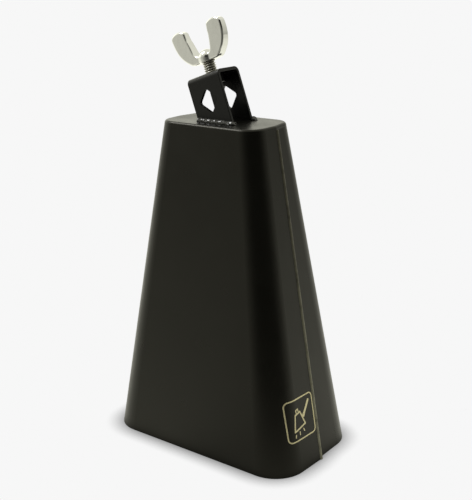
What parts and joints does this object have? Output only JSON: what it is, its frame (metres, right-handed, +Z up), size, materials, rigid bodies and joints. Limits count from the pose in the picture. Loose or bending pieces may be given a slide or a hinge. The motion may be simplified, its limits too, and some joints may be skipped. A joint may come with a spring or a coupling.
{
  "type": "cowbell",
  "caption": "Tapered sheet-steel cowbell, open at the bottom, with a leaning rod clamp on top and a wing bolt that tightens it.",
  "frame": {"origin": "middle of the open mouth, on the plane of its rim", "axes": "+Z up towards the crown and bracket, -Y the broad front plate, +X the side that carries the badge"},
  "size_m": [0.143, 0.0818, 0.2637],
  "materials": {
    "shell_paint": "satin black powder coat",
    "bracket_paint": "satin black paint",
    "weld_paint": "glossy black paint over weld beads",
    "badge_ink": "gold screen-printed ink",
    "stud_plating": "bright zinc plate",
    "wing_chrome": "chrome plate"
  },
  "bodies": {
    "bell": {"front_shell": "shell_paint", "rear_shell": "shell_paint", "crown_plate": "shell_paint", "side_weld_right": "weld_paint", "side_weld_left": "weld_paint", "mounting_bracket": "bracket_paint", "bracket_weld_front": "weld_paint", "bracket_weld_rear": "weld_paint", "badge_border": "badge_ink", "badge_motif": "badge_ink", "clamp_nut": "bracket_paint"},
    "stud": {"clamp_stud": "stud_plating"},
    "wing": {"wing_head": "wing_chrome"}
  },
  "joints": [
    {"name": "stud_advance", "type": "slide", "parent": "bell", "child": "stud", "axis": [-0.3338, 0, 0.9426], "range_m": [-0.0064, 0.0039]},
    {"name": "wing_turn", "type": "hinge", "parent": "stud", "child": "wing", "pos_m": [-0.01212, 0, 0.23722], "axis": [-0.3338, 0, 0.9426], "range_deg": [-1620, 990]}
  ],
  "couplings": [
    {"joint": "stud_advance", "follows": "wing_turn", "m_per_rad": 0.00022459}
  ]
}
